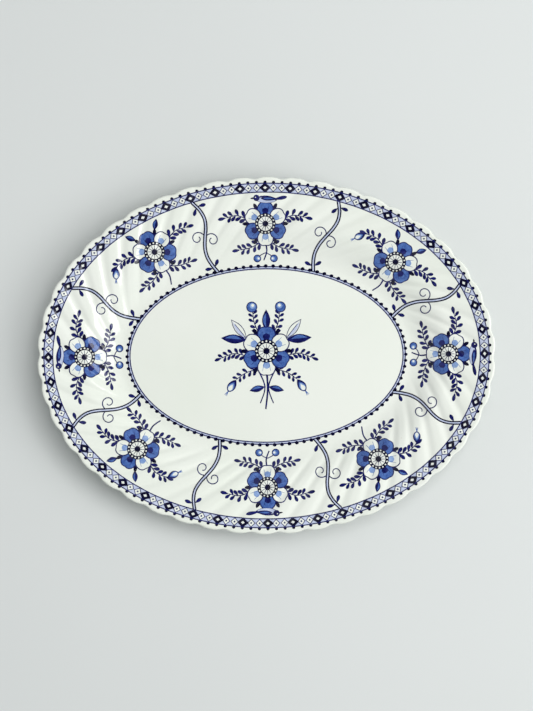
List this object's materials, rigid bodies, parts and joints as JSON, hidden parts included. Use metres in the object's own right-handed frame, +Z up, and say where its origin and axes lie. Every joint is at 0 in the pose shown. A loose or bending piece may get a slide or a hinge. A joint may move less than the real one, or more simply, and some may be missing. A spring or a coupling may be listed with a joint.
{
  "type": "oval serving platter",
  "caption": "Oval glazed earthenware serving platter with a swirl-fluted scalloped rim, a flat well and blue underglaze flower prints.",
  "frame": {"origin": "centre of the oval on the plane that the foot ring stands on", "axes": "+Z up from the table, +X along the length of the platter, +Y to the far side of the width"},
  "size_m": [0.305, 0.238, 0.0247],
  "materials": {
    "bare_clay": "matt unglazed white earthenware, bare on the foot ring's bearing face",
    "clear_glaze": "glossy clear glaze over off-white earthenware",
    "dark_ink": "near-black cobalt line print under glossy glaze",
    "blue_ink": "mid cobalt blue print under glossy glaze"
  },
  "bodies": {
    "root": {"clay_body": "bare_clay", "glaze_coat": "clear_glaze", "glaze_under_well": "clear_glaze", "border_band_print": "dark_ink", "well_border_print": "dark_ink", "centre_bouquet_print": "blue_ink", "bird_spray_print_far": "blue_ink", "bird_spray_print_right": "blue_ink", "bird_spray_print_near": "blue_ink", "bird_spray_print_left": "blue_ink", "bud_spray_print_far_right": "blue_ink", "bud_spray_print_near_right": "blue_ink", "bud_spray_print_near_left": "blue_ink", "bud_spray_print_far_left": "blue_ink", "divider_print_1": "dark_ink", "divider_print_2": "dark_ink", "divider_print_3": "dark_ink", "divider_print_4": "dark_ink", "divider_print_5": "dark_ink", "divider_print_6": "dark_ink", "divider_print_7": "dark_ink", "divider_print_8": "dark_ink"}
  },
  "joints": []
}
